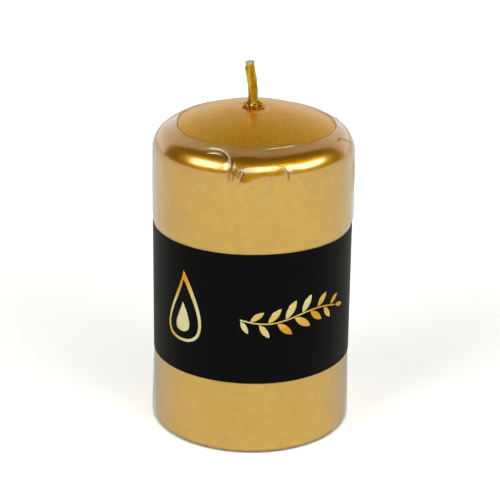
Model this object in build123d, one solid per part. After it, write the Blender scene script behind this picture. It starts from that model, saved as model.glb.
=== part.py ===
from build123d import *
import os
from math import asin, atan2, cos, degrees, pi, radians, sin

os.makedirs("parts", exist_ok=True)

# A pressed-wax pillar candle with a gold lacquer skin, sealed in clear shrink film,
# with a printed paper band round its middle. Millimetres, +Z up, the axis of the
# candle on Z, the underside of the film on z = 0, and the front of the band on -Y.

# ---- candle body --------------------------------------------------------------
CANDLE_R = 30.0          # outside of the lacquer on the straight side
CANDLE_TOP = 100.4       # top of the dome, above the surface it stands on
SHOULDER_Z = 87.2        # where the straight side ends
SHOULDER_R = 7.4         # rounding between the side and the dome
BASE_EDGE_R = 0.8        # rounding of the bottom edge
LACQUER_T = 0.25         # gold lacquer
OVERDIP_T = 1.55         # smooth dipped wax between the lacquer and the pressed core
LACQUER_TURN_IN = 4.0    # how far the lacquer reaches in under the base
DISH_R = 24.0            # shallow hollow in the base of the core
DISH_DEPTH = 1.2

# ---- wick ---------------------------------------------------------------------
WICK_R = 1.2             # braided cotton
WICK_COAT_T = 0.17       # lacquer on the part that stands out of the wax
WICK_BEND_Z = 96.0       # the wick is straight up to here, then bends towards -X
WICK_BEND_R = 100.0
WICK_BEND_DEG = 10.1
WICK_BARE_TIP = 1.7      # cotton left bare below the cut
WICK_FIT = 0.02          # radial clearance round the wick
TIN_R = 10.0             # stamped disc that anchors the wick in the base
TIN_T = 0.3
TIN_NECK_H = 6.0
TIN_FIT = 0.1

# ---- lump of lacquered wax at the foot of the wick ------------------------------
LUMP_R = 2.5
LUMP_TOP_R = 1.8
LUMP_FORWARD = 0.9       # its middle lies this far in front of the wick's
LUMP_H = 1.3             # above the dome
GRAIN_COUNT = 9
GRAIN_R = (0.42, 0.55, 0.48)
GRAIN_FOOT = 0.1         # middle of the lowest grains, above the dome
GRAIN_STEP_UP = 0.45     # from one layer of grains to the next
GRAIN_STEP_IN = 0.35
GOLDEN_ANGLE = 137.5

# ---- shrink film ----------------------------------------------------------------
FILM_T = 0.08
FILM_UNDER_BAND = 0.08   # outside of the film beyond the candle's side, under the band
FILM_BELOW = 0.42        # the same where it stands proud below the band
FILM_ABOVE = 0.50        # and above the band
FILM_CROWN = 0.20        # and over the shoulder and the dome
FILM_EASE_LOW = 1.6      # height over which the film is drawn in below the band
FILM_EASE_HIGH = 2.2     # and above it
FILM_NIP = 0.1           # the drawn-in stretch reaches this far past the band's edges
FILM_MOUTH_R = 24.0      # opening that the shrunk film leaves on the dome
FILM_UNDER_R = 22.0      # edge of the film turned in under the base

# ---- paper band -----------------------------------------------------------------
BAND_Z0 = 23.3
BAND_Z1 = 64.2
BAND_T = 0.18
BAND_FIT = 0.01          # between the film and the paper
BAND_SEAM_DEG = 84.0     # inner end of the paper, measured from +X towards +Y
BAND_RAMP_DEG = 7.0      # where the outer layer climbs over that end
BAND_LAP_MM = 12.0
GLUE_T = 0.05
GLUE_W = 8.0
GLUE_MARGIN_Z = 3.0

# ---- foil printing on the band ----------------------------------------------------
FOIL_T = 0.03
FLAME_AZIMUTH = -43.0    # from the front (-Y) towards +X
FLAME_Z = 45.0
FLAME_H = 23.0
FLAME_W = 13.0
FLAME_LINE = 0.95        # width of the outline
FLAME_TIP_LINE = 3.0     # and its height at the tip
# Handles of the flame's two curves, as fractions of its width and height: from the foot
# up the right side to the tip, and from the tip down the left side to the foot.
FLAME_RIGHT = ((0.76, 0.0), (0.70, 0.45))
FLAME_LEFT = ((-0.02, 0.68), (-1.0, 0.0))
FLAME_LEAN = 0.06        # the tip is this much of the width to the right
FLAME_HEART = 0.42       # size of the small flame inside the large one
FLAME_HEART_LIFT = 3.2   # its foot above the large one's
SPRIG_AZIMUTH = 24.3
SPRIG_Z = 43.8
SPRIG_LENGTH = 39.0
SPRIG_PAIRS = 6
SPRIG_STEM = 0.5
SPRIG_RISE = 1.3         # half the height of the stem's wave
LEAF_LENGTH = 6.6        # of the longest leaf
LEAF_WIDTH = 2.5
LEAF_GAP = 0.45          # between the middle of the stem and a leaf's foot
LEAF_LEAN_DEG = 47.0
LEAF_TAPER = 0.35        # how much shorter the leaves get towards the ends
LEAF_FULLEST = 0.1       # the longest leaves sit this far left of the middle

# ---- values that follow from the ones above ---------------------------------------
BASE_Z = FILM_T                                    # the wax stands on the turned-in film
CORE_INSET = LACQUER_T + OVERDIP_T
CORE_BASE_Z = BASE_Z + LACQUER_T
DISH_TOP_Z = CORE_BASE_Z + DISH_DEPTH
SHOULDER_AXIS_R = CANDLE_R - SHOULDER_R
CROWN_H = CANDLE_TOP - SHOULDER_Z
DOME_R = (SHOULDER_AXIS_R**2 + CROWN_H**2 - SHOULDER_R**2) / (2 * (CROWN_H - SHOULDER_R))
DOME_Z = CANDLE_TOP - DOME_R                       # centre of the dome's sphere
JOIN_ANGLE = atan2(SHOULDER_Z - DOME_Z, SHOULDER_AXIS_R)   # shoulder meets dome tangentially
NECK_R = WICK_R + WICK_FIT + TIN_T
BAND_R = CANDLE_R + FILM_UNDER_BAND + BAND_FIT     # inside of the paper
BAND_OUT_R = BAND_R + BAND_T
BAND_LAP_DEG = degrees(BAND_LAP_MM / BAND_R)
PRESS_DEPTH = BAND_R / 3                           # covers the band's curve behind an outline
STEM_LENGTH = SPRIG_LENGTH - LEAF_LENGTH


def at(r, z):
    """A point of a section drawn in the XZ plane."""
    return Vector(r, 0, z)


def arc(r, z, radius, start, end):
    """Arc in the XZ plane about (r, z), between two elevations in radians."""
    stops = [start, (start + end) / 2, end]
    return ThreePointArc(*[at(r + radius * cos(a), z + radius * sin(a)) for a in stops])


def crown_arcs(grow, end_r):
    """Shoulder and dome, grown outwards by a distance, up to a radius from the axis."""
    shoulder = arc(SHOULDER_AXIS_R, SHOULDER_Z, SHOULDER_R + grow, 0, JOIN_ANGLE)
    dome_end = pi / 2 - asin(end_r / (DOME_R + grow))
    dome = arc(0, DOME_Z, DOME_R + grow, JOIN_ANGLE, dome_end)
    return [shoulder, dome]


def turned(edges):
    """Solid of revolution of the outline that these edges go round, in order."""
    return revolve(make_face(edges), Axis.Z, 360)


def candle_blank(grow, base_z, edge_r):
    """Solid body: flat base, rounded bottom edge, straight side, shoulder and dome."""
    side_r = CANDLE_R + grow
    crown = crown_arcs(grow, 0)
    edges = [Line(at(0, base_z), at(side_r - edge_r, base_z))]
    edges.append(arc(side_r - edge_r, base_z + edge_r, edge_r, -pi / 2, 0))
    edges.append(Line(at(side_r, base_z + edge_r), at(side_r, SHOULDER_Z)))
    edges += crown
    edges.append(Line(crown[-1] @ 1, at(0, base_z)))
    return turned(edges)


def upright_cylinder(radius, z0, z1):
    return Pos(0, 0, z0) * Cylinder(radius, z1 - z0, align=(Align.CENTER, Align.CENTER, Align.MIN))


def ring(inner_r, outer_r, z0, z1):
    return upright_cylinder(outer_r, z0, z1) - upright_cylinder(inner_r, z0, z1)


def bent(section, start_deg, end_deg):
    """Sweep a section that lies at the bend's start along a stretch of the wick's bend."""
    hinge = Axis((-WICK_BEND_R, 0, WICK_BEND_Z), (0, -1, 0))
    return revolve(section, hinge, end_deg - start_deg).rotate(hinge, start_deg)


def wick_rod(radius, z0):
    """Solid along the wick's middle line, from a height up to the plane of the cut tip."""
    section = Pos(0, 0, WICK_BEND_Z) * Circle(radius)
    return upright_cylinder(radius, z0, WICK_BEND_Z) + bent(section, 0, WICK_BEND_DEG)


# ---- candle -----------------------------------------------------------------------
def wax_core():
    """Pressed white wax, hollowed underneath, bored for the wick and its anchor."""
    core = candle_blank(-CORE_INSET, CORE_BASE_Z, BASE_EDGE_R)
    dish_ball = (DISH_R**2 + DISH_DEPTH**2) / (2 * DISH_DEPTH)
    core -= Pos(0, 0, DISH_TOP_Z - dish_ball) * Sphere(dish_ball)
    core -= wick_rod(WICK_R + WICK_FIT, 0)
    core -= upright_cylinder(NECK_R + TIN_FIT, 0, DISH_TOP_Z + TIN_T + TIN_NECK_H + TIN_FIT)
    core -= upright_cylinder(TIN_R + TIN_FIT, 0, DISH_TOP_Z + TIN_T + WICK_FIT)
    return core


def overdip_shell():
    """Dipped wax over the side and the crown of the core, open at the base."""
    shell = candle_blank(-LACQUER_T, CORE_BASE_Z, BASE_EDGE_R)
    shell -= candle_blank(-CORE_INSET, -CANDLE_R, BASE_EDGE_R)
    return shell - wick_rod(WICK_R + WICK_FIT, CANDLE_TOP / 2)


def lacquer_coat():
    """Gold skin, turned in under the base and pierced by the wick."""
    coat = candle_blank(0, BASE_Z, BASE_EDGE_R) - candle_blank(-LACQUER_T, CORE_BASE_Z, BASE_EDGE_R)
    coat -= upright_cylinder(CANDLE_R - LACQUER_TURN_IN, 0, CORE_BASE_Z)
    return coat - wick_rod(WICK_R + WICK_FIT, CANDLE_TOP / 2)


def wick():
    """Cotton braid from the anchor disc to the cut tip."""
    return wick_rod(WICK_R, DISH_TOP_Z)


def wick_lacquer():
    """Tube of gold lacquer on the standing wick, from the dome to just below the cut."""
    start = degrees(asin((CANDLE_TOP + WICK_FIT - WICK_BEND_Z) / WICK_BEND_R))
    end = WICK_BEND_DEG - degrees(WICK_BARE_TIP / WICK_BEND_R)
    section = Circle(WICK_R + WICK_COAT_T) - Circle(WICK_R)
    return bent(Pos(0, 0, WICK_BEND_Z) * section, start, end)


def wick_sustainer():
    """Stamped tin disc with a neck that grips the end of the wick."""
    disc = upright_cylinder(TIN_R, DISH_TOP_Z, DISH_TOP_Z + TIN_T)
    neck = upright_cylinder(NECK_R, DISH_TOP_Z, DISH_TOP_Z + TIN_T + TIN_NECK_H)
    return disc + neck - upright_cylinder(WICK_R + WICK_FIT, 0, CANDLE_R)


def wax_crumbs():
    """Lump of wax grains that the dipping leaves round the foot of the wick."""
    lump_z = CANDLE_TOP - 2 * LACQUER_T
    lump_h = LUMP_H + 2 * LACQUER_T
    lump = Pos(0, -LUMP_FORWARD, lump_z + lump_h / 2) * Cone(LUMP_R, LUMP_TOP_R, lump_h)
    for i in range(GRAIN_COUNT):
        layer = i % len(GRAIN_R)
        turn = radians(i * GOLDEN_ANGLE)
        reach = LUMP_R - GRAIN_STEP_IN * layer
        height = CANDLE_TOP + GRAIN_FOOT + GRAIN_STEP_UP * layer
        place = Pos(reach * cos(turn), reach * sin(turn) - LUMP_FORWARD, height)
        lump += place * Sphere(GRAIN_R[layer])
    lump -= candle_blank(0, BASE_Z, BASE_EDGE_R)
    return lump - wick_rod(WICK_R + WICK_COAT_T, CANDLE_TOP / 2)


# ---- wrapping ---------------------------------------------------------------------
def film_line(skin):
    """Edges of one face of the film, from under the base to the opening on the dome.

    skin is how far this face lies inside the film's outer face.
    """
    low_r = CANDLE_R + FILM_BELOW - skin
    nip_r = CANDLE_R + FILM_UNDER_BAND - skin
    high_r = CANDLE_R + FILM_ABOVE - skin
    crown_r = CANDLE_R + FILM_CROWN - skin
    corner_r = CANDLE_R + FILM_BELOW - BASE_EDGE_R
    stops = [
        at(low_r, BASE_EDGE_R),
        at(low_r, BAND_Z0 - FILM_EASE_LOW),
        at(nip_r, BAND_Z0 - FILM_NIP),
        at(nip_r, BAND_Z1 + FILM_NIP),
        at(high_r, BAND_Z1 + FILM_EASE_HIGH),
        at(crown_r, SHOULDER_Z),
    ]
    edges = [Line(at(FILM_UNDER_R, skin), at(corner_r, skin))]
    edges.append(arc(corner_r, BASE_EDGE_R, BASE_EDGE_R - skin, -pi / 2, 0))
    edges += [Line(a, b) for a, b in zip(stops, stops[1:])]
    return edges + crown_arcs(FILM_CROWN - skin, FILM_MOUTH_R)


def film_wrap():
    """Clear film, shrunk over the side and the shoulder and turned in under the base."""
    outer = film_line(0)
    inner = film_line(FILM_T)
    edges = outer + [Line(outer[-1] @ 1, inner[-1] @ 1)] + inner[::-1]
    edges.append(Line(inner[0] @ 0, outer[0] @ 0))
    return turned(edges)


def round_the_band(radius, turn_deg):
    return Vector(radius * cos(radians(turn_deg)), radius * sin(radians(turn_deg)), 0)


def band_arc(radius, start_deg, end_deg):
    stops = [start_deg, (start_deg + end_deg) / 2, end_deg]
    return ThreePointArc(*[round_the_band(radius, a) for a in stops])


def belly_band():
    """Paper wound once round the film, its outer end lapped over its inner end at the back."""
    climb = BAND_T + GLUE_T
    ramp_deg = BAND_SEAM_DEG + 360 - BAND_RAMP_DEG
    lap_deg = BAND_SEAM_DEG + 360
    end_deg = lap_deg + BAND_LAP_DEG
    faces = []
    for radius in (BAND_R, BAND_OUT_R):
        main = band_arc(radius, BAND_SEAM_DEG, ramp_deg)
        lap = band_arc(radius + climb, lap_deg, end_deg)
        faces.append([main, Line(main @ 1, lap @ 0), lap])
    inner, outer = faces
    edges = inner + [Line(inner[-1] @ 1, outer[-1] @ 1)] + outer[::-1]
    edges.append(Line(outer[0] @ 0, inner[0] @ 0))
    return Pos(0, 0, BAND_Z0) * extrude(make_face(edges), BAND_Z1 - BAND_Z0)


def band_glue():
    """Strip of glue between the two layers of the lap."""
    sweep_deg = degrees(GLUE_W / BAND_R)
    start_deg = BAND_SEAM_DEG + (BAND_LAP_DEG - sweep_deg) / 2
    low = at(BAND_OUT_R, BAND_Z0 + GLUE_MARGIN_Z)
    section = Rectangle(GLUE_T, BAND_Z1 - BAND_Z0 - 2 * GLUE_MARGIN_Z, align=Align.MIN)
    strip = revolve(Plane(low, x_dir=(1, 0, 0), z_dir=(0, -1, 0)) * section, Axis.Z, sweep_deg)
    return strip.rotate(Axis.Z, start_deg)


# ---- foil -------------------------------------------------------------------------
def facing(azimuth_deg, z):
    """Plane that touches the band at an azimuth: x runs to the right, y up, z outwards."""
    a = radians(azimuth_deg)
    out = Vector(sin(a), -cos(a), 0)
    return Plane(out * BAND_OUT_R + Vector(0, 0, z), x_dir=(cos(a), sin(a), 0), z_dir=out)


def stamped(face, azimuth_deg, z):
    """Press a flat outline on to the band, as foil of even thickness."""
    block = extrude(facing(azimuth_deg, z) * face, PRESS_DEPTH, both=True)
    block = block & upright_cylinder(BAND_OUT_R + FOIL_T, BAND_Z0, BAND_Z1)
    return block - upright_cylinder(BAND_OUT_R, BAND_Z0, BAND_Z1)


def flame_face(width, height, foot_y):
    """A plain candle flame: a full round foot and a tip that leans a little."""
    def place(across, up):
        return across * width, foot_y + up * height

    foot, tip = place(0, 0), place(FLAME_LEAN, 1)
    right = Bezier(foot, *[place(*handle) for handle in FLAME_RIGHT], tip)
    left = Bezier(tip, *[place(*handle) for handle in FLAME_LEFT], foot)
    return make_face([right, left])


def foil_flame():
    """Outlined flame with a small solid flame inside its foot."""
    foot_y = -FLAME_H / 2
    flame = stamped(flame_face(FLAME_W, FLAME_H, foot_y), FLAME_AZIMUTH, FLAME_Z)
    hollow_w = FLAME_W - 2 * FLAME_LINE
    hollow_h = FLAME_H - FLAME_TIP_LINE - FLAME_LINE
    hollow = flame_face(hollow_w, hollow_h, foot_y + FLAME_LINE)
    flame -= extrude(facing(FLAME_AZIMUTH, FLAME_Z) * hollow, PRESS_DEPTH, both=True)
    heart = flame_face(FLAME_HEART * FLAME_W, FLAME_HEART * FLAME_H, foot_y + FLAME_HEART_LIFT)
    return Compound([*flame.solids(), *stamped(heart, FLAME_AZIMUTH, FLAME_Z).solids()])


def leaf(length):
    """A pointed leaf lying along x, its foot clear of the stem."""
    foot, tip, half = LEAF_GAP, LEAF_GAP + length, length * LEAF_WIDTH / LEAF_LENGTH / 2
    upper = ThreePointArc((foot, 0), ((foot + tip) / 2, half), (tip, 0))
    lower = ThreePointArc((tip, 0), ((foot + tip) / 2, -half), (foot, 0))
    return make_face([upper, lower])


def stem_height(along):
    """Height of the stem above the sprig's middle line, from -1 to 1 along its length."""
    return SPRIG_RISE * sin(pi * along)


def sprig_stem():
    """The waved stem as one line, laid out so that it keeps its length on the band."""
    sides = []
    for half in (SPRIG_STEM / 2, -SPRIG_STEM / 2):
        stations = [i / SPRIG_PAIRS - 1 for i in range(2 * SPRIG_PAIRS + 1)]
        reach = [BAND_OUT_R * sin(s * STEM_LENGTH / 2 / BAND_OUT_R) for s in stations]
        sides.append(Spline(*[(x, stem_height(s) + half) for x, s in zip(reach, stations)]))
    top, bottom = sides
    ends = [Line(top @ 0, bottom @ 0), Line(top @ 1, bottom @ 1)]
    return stamped(make_face([top, ends[1], bottom, ends[0]]), SPRIG_AZIMUTH, SPRIG_Z)


def foil_sprig():
    """Leafy sprig: a waved stem with leaves to either side in turn and one at the end."""
    solids = [*sprig_stem().solids()]
    leaves = 2 * SPRIG_PAIRS
    for i in range(leaves + 1):
        along = 2 * i / leaves - 1
        slope = degrees(atan2(SPRIG_RISE * pi * cos(pi * along), STEM_LENGTH / 2))
        lean = 0 if i == leaves else LEAF_LEAN_DEG * (1 if i % 2 else -1)
        size = LEAF_LENGTH * (1 - LEAF_TAPER * abs(along + LEAF_FULLEST))
        azimuth = SPRIG_AZIMUTH + degrees(along * STEM_LENGTH / 2 / BAND_OUT_R)
        twig = Rot(0, 0, slope + lean) * leaf(size)
        solids += stamped(twig, azimuth, SPRIG_Z + stem_height(along)).solids()
    return Compound(solids)


MAKERS = [
    wax_core, overdip_shell, lacquer_coat, wick, wick_lacquer, wick_sustainer, wax_crumbs,
    film_wrap, belly_band, band_glue, foil_flame, foil_sprig,
]

for make in MAKERS:
    export_step(make(), f"parts/{make.__name__}.step")
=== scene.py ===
from math import atan2, cos, degrees, pi, radians, sin, sqrt

import bmesh
import bpy
import numpy as np
from mathutils import Matrix, Vector, noise


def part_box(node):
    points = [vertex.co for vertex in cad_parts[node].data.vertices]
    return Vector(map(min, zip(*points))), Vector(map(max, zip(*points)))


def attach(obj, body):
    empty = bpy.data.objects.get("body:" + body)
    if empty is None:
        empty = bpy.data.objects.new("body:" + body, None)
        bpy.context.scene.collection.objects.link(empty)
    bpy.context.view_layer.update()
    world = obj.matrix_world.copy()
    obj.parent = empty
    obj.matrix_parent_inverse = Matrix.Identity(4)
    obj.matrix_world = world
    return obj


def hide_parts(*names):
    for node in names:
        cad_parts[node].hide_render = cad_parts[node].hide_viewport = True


# A gold lacquered pillar candle in clear shrink film with a printed paper band.
# Lengths are written in millimetres and turned into metres where meshes are made.
MM = 0.001

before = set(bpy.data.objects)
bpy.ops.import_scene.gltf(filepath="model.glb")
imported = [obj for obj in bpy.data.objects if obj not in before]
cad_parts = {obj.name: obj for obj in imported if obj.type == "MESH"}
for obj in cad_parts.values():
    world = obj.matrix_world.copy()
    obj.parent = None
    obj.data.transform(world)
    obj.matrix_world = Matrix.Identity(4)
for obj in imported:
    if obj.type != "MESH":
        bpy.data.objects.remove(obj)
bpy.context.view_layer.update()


def span(node):
    """Lowest and highest corner of a CAD node, in millimetres."""
    low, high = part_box(node)
    return np.array(low) / MM, np.array(high) / MM


# ---- sizes from the frame ----
LACQUER_LO, LACQUER_HI = span("lacquer_coat")
BAND_LO, BAND_HI = span("belly_band")
WICK_LO, WICK_HI = span("wick")
SLEEVE_LO, SLEEVE_HI = span("wick_lacquer")

CANDLE_R = (LACQUER_HI[0] - LACQUER_LO[0]) / 2
MM_PER_DEG = CANDLE_R * pi / 180       # round the candle's side
CANDLE_TOP = LACQUER_HI[2]
BASE_Z = LACQUER_LO[2]
BAND_Z0, BAND_Z1 = BAND_LO[2], BAND_HI[2]
WICK_R = (WICK_HI[1] - WICK_LO[1]) / 2
SLEEVE_R = (SLEEVE_HI[1] - SLEEVE_LO[1]) / 2

# ---- the candle's section: same shape as the CAD model's ----
SHOULDER_Z = 87.2
SHOULDER_R = 7.4
BASE_EDGE_R = 0.8
SHOULDER_AXIS_R = CANDLE_R - SHOULDER_R
CROWN_H = CANDLE_TOP - SHOULDER_Z
DOME_R = (SHOULDER_AXIS_R**2 + CROWN_H**2 - SHOULDER_R**2) / (2 * (CROWN_H - SHOULDER_R))
DOME_Z = CANDLE_TOP - DOME_R
JOIN_ANGLE = atan2(SHOULDER_Z - DOME_Z, SHOULDER_AXIS_R)

# Distances along the section, called t, are counted from the start of the shoulder: negative
# down the side and in under the base, positive over the shoulder and up the dome.
T_JOIN = SHOULDER_R * JOIN_ANGLE
T_CORNER_TOP = BASE_Z + BASE_EDGE_R - SHOULDER_Z
T_CORNER_BOTTOM = T_CORNER_TOP - BASE_EDGE_R * pi / 2
UNDER_R = CANDLE_R - BASE_EDGE_R


def section(t):
    """Radius, height and outward normal of the candle's surface at distances t."""
    t = np.asarray(t, float)
    shoulder = np.clip(t, 0, T_JOIN) / SHOULDER_R
    dome = JOIN_ANGLE + np.clip(t - T_JOIN, 0, None) / DOME_R
    corner = (np.clip(t, T_CORNER_BOTTOM, T_CORNER_TOP) - T_CORNER_TOP) / BASE_EDGE_R
    where = [t > T_JOIN, t > 0, t > T_CORNER_TOP, t > T_CORNER_BOTTOM]
    under_r = UNDER_R - (T_CORNER_BOTTOM - t)
    r = np.select(where, [
        DOME_R * np.cos(dome),
        SHOULDER_AXIS_R + SHOULDER_R * np.cos(shoulder),
        np.full_like(t, CANDLE_R),
        UNDER_R + BASE_EDGE_R * np.cos(corner),
    ], under_r)
    z = np.select(where, [
        DOME_Z + DOME_R * np.sin(dome),
        SHOULDER_Z + SHOULDER_R * np.sin(shoulder),
        SHOULDER_Z + t,
        BASE_Z + BASE_EDGE_R * (1 + np.sin(corner)),
    ], BASE_Z)
    tilt = np.select(where, [dome, shoulder, np.zeros_like(t), corner], -pi / 2)
    return r, z, np.cos(tilt), np.sin(tilt)


def t_at_dome_radius(r):
    return T_JOIN + DOME_R * (np.arccos(r / DOME_R) - JOIN_ANGLE)


def smooth(a, b, x):
    """0 below a, 1 above b, and a smooth step between them."""
    u = np.clip((np.asarray(x, float) - a) / (b - a), 0, 1)
    return u * u * (3 - 2 * u)


def wave(azimuth, count, phase=0.0):
    """Sine wave that goes count times round the candle."""
    return np.sin(np.radians(count * azimuth + phase))


def swelling(t, azimuth, middle_azimuth, middle_t, height, wide, tall):
    """Height of a soft swelling with half-widths wide and tall, drawn out down the section."""
    x = wrapped(azimuth - middle_azimuth) * MM_PER_DEG
    reach = np.where(t < middle_t, 2.4 * tall, tall)
    return height * np.exp(-(x / wide) ** 2 - ((t - middle_t) / reach) ** 2)


def stations(stops):
    """Distances along a line, from (end, count) stops after the first value."""
    out = [stops[0]]
    for end, count in stops[1:]:
        out += list(np.linspace(out[-1], end, count + 1)[1:])
    return np.array(out)


def wrapped(angle):
    """Angle in degrees brought to -180..180."""
    return (angle + 180) % 360 - 180


# ---- mesh making ----
def add_mesh(name, points_mm, faces, sharp_deg=None):
    """A mesh object from points in millimetres, shaded smooth."""
    mesh = bpy.data.meshes.new(name)
    mesh.from_pydata((np.asarray(points_mm) * MM).tolist(), [], faces)
    mesh.update()
    mesh.validate()
    obj = bpy.data.objects.new(name, mesh)
    bpy.context.scene.collection.objects.link(obj)
    mesh.shade_smooth()
    if sharp_deg is not None:
        mesh.set_sharp_from_angle(angle=radians(sharp_deg))
    return obj


def grid_faces(rows, cols, offset=0, flip=False, closed=True):
    """Quads of a grid of rows by cols points, closed round its columns."""
    i, j = np.meshgrid(np.arange(rows - 1), np.arange(cols if closed else cols - 1), indexing="ij")
    k = (j + 1) % cols
    quad = [i * cols + j, i * cols + k, (i + 1) * cols + k, (i + 1) * cols + j]
    if flip:
        quad.reverse()
    return (np.stack(quad, -1).reshape(-1, 4) + offset).tolist()


def rim_faces(start_a, start_b, cols, flip=False):
    """Quads between two rings of points, to close the edge of a shell."""
    j = np.arange(cols)
    k = (j + 1) % cols
    quad = [start_a + j, start_b + j, start_b + k, start_a + k]
    if flip:
        quad.reverse()
    return np.stack(quad, -1).tolist()


def end_faces(rows, cols, offset=0):
    """The two faces that close the ends of a tube of rows by cols points."""
    last = offset + (rows - 1) * cols
    return [[offset + j for j in reversed(range(cols))], [last + j for j in range(cols)]]


def joined(points, faces, more):
    """Points and faces of a mesh with those of one more part, which are numbered to follow."""
    more_points, more_faces = more
    return np.concatenate([points, more_points]), faces + more_faces


def shell(outer, inner):
    """Points and faces of a closed shell between two grids, rows from the base upwards."""
    rows, cols, _ = outer.shape
    count = rows * cols
    points = np.concatenate([outer.reshape(-1, 3), inner.reshape(-1, 3)])
    faces = grid_faces(rows, cols) + grid_faces(rows, cols, count, flip=True)
    faces += rim_faces(0, count, cols)
    last = (rows - 1) * cols
    faces += rim_faces(last, count + last, cols, flip=True)
    return points, faces


def rounded(path, rounds=3):
    """Cut the corners off a line of points until it is smooth, keeping its ends."""
    line = np.array(path, float)
    for _ in range(rounds):
        a, b = line[:-1], line[1:]
        cut = np.stack([0.75 * a + 0.25 * b, 0.25 * a + 0.75 * b], 1).reshape(-1, line.shape[1])
        line = np.concatenate([line[:1], cut[1:-1], line[-1:]])
    return line


def tube(line, out, half_width, half_height, sides, offset=0):
    """Points and faces of a closed tube along a line; out is its normal at each point."""
    along = np.gradient(line, axis=0)
    across = np.cross(along, out)
    across /= np.linalg.norm(across, axis=1)[:, None]
    turn = np.arange(sides) * 2 * pi / sides
    rings = line[:, None] + across[:, None] * (half_width[:, None] * np.cos(turn))[..., None]
    rings = rings + out[:, None] * (half_height[:, None] * np.sin(turn))[..., None]
    faces = grid_faces(len(line), sides, offset) + end_faces(len(line), sides, offset)
    return rings.reshape(-1, 3), faces


def round_points(r, z, azimuth_deg):
    """Points at radius, height and azimuth, where 0 is the front and 90 is +X."""
    a = np.radians(azimuth_deg)
    return np.stack([r * np.sin(a), -r * np.cos(a), z + 0 * a], -1)


def lifted(t, azimuth, lift):
    """Points on the candle's section, lifted off it along its normal."""
    r, z, nr, nz = section(t)
    return round_points(r + lift * nr, z + lift * nz, azimuth)


def soft_noise(points, scale, seed):
    """Smooth noise in -1..1 at points in millimetres, with features about scale across."""
    shift = Vector((seed * 17.3, seed * 5.1, seed * 9.7))
    flat = points.reshape(-1, 3) / scale
    values = [noise.noise(Vector(p) + shift) for p in flat]
    return np.array(values).reshape(points.shape[:-1])


# ---- materials ----
class Nodes:
    """Short way to write a node tree."""

    def __init__(self, tree):
        self.tree = tree
        tree.nodes.clear()

    def feed(self, socket, value):
        """Give an input a value or another node's output."""
        if isinstance(value, bpy.types.NodeSocket):
            self.tree.links.new(value, socket)
        else:
            socket.default_value = value

    def add(self, kind, *first, **named):
        """A new node; first feed its first inputs, and named its inputs or properties by name."""
        node = self.tree.nodes.new("ShaderNode" + kind)
        for socket, value in zip(node.inputs, first):
            self.feed(socket, value)
        sockets = {socket.name.lower(): socket for socket in reversed(list(node.inputs))}
        for key, value in named.items():
            socket = sockets.get(key.replace("_", " ").lower())
            if socket is None:
                setattr(node, key, value)
            else:
                self.feed(socket, value)
        return node

    def math(self, operation, *values):
        return self.add("Math", *values, operation=operation).outputs["Value"]

    def spread(self, fac, low, high, start=0.0, end=1.0, ease="LINEAR"):
        """Map a factor from start..end to low..high."""
        return self.add("MapRange", fac, start, end, low, high, interpolation_type=ease).outputs["Result"]

    def shader(self, kind, *first, **named):
        return self.add(kind, *first, **named).outputs[0]


class Surface(Nodes):
    """Node tree of a new material."""

    def __init__(self, name):
        self.material = bpy.data.materials.new(name)
        self.material.use_nodes = True
        super().__init__(self.material.node_tree)
        self.position = self.add("TexCoord").outputs["Object"]

    def noise(self, scale, detail=2.0, roughness=0.5, stretch=None):
        """Noise over the object's own space; scale is in features per metre."""
        vector = self.position
        if stretch:
            vector = self.add("Mapping", vector=vector, scale=stretch).outputs["Vector"]
        node = self.add("TexNoise", vector=vector, scale=scale, detail=detail, roughness=roughness)
        return node.outputs["Fac"]

    def ramp(self, fac, *stops):
        """Colour ramp with (position, colour) stops."""
        node = self.add("ValToRGB", fac)
        elements = node.color_ramp.elements
        while len(elements) < len(stops):
            elements.new(0.5)
        for element, (place, colour) in zip(elements, stops):
            element.position = place
            element.color = (*colour, 1)
        return node.outputs["Color"]

    def mix(self, fac, a, b):
        """Mix two colours by a factor."""
        node = self.add("Mix", data_type="RGBA")
        for socket, value in zip((node.inputs[0], *node.inputs[6:8]), (fac, a, b)):
            self.feed(socket, (*value, 1) if isinstance(value, tuple) else value)
        return node.outputs[2]

    def bump(self, height, strength, distance_mm):
        node = self.add("Bump", strength=strength, distance=distance_mm * MM, height=height)
        return node.outputs["Normal"]

    def facing(self):
        """0 where the surface faces the eye, rising to 1 where it is seen edge on."""
        return self.add("LayerWeight", blend=0.5).outputs["Facing"]

    def finish(self, shader):
        self.add("OutputMaterial", shader)
        return self.material

    def principled(self, **values):
        return self.finish(self.shader("BsdfPrincipled", **values))


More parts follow.
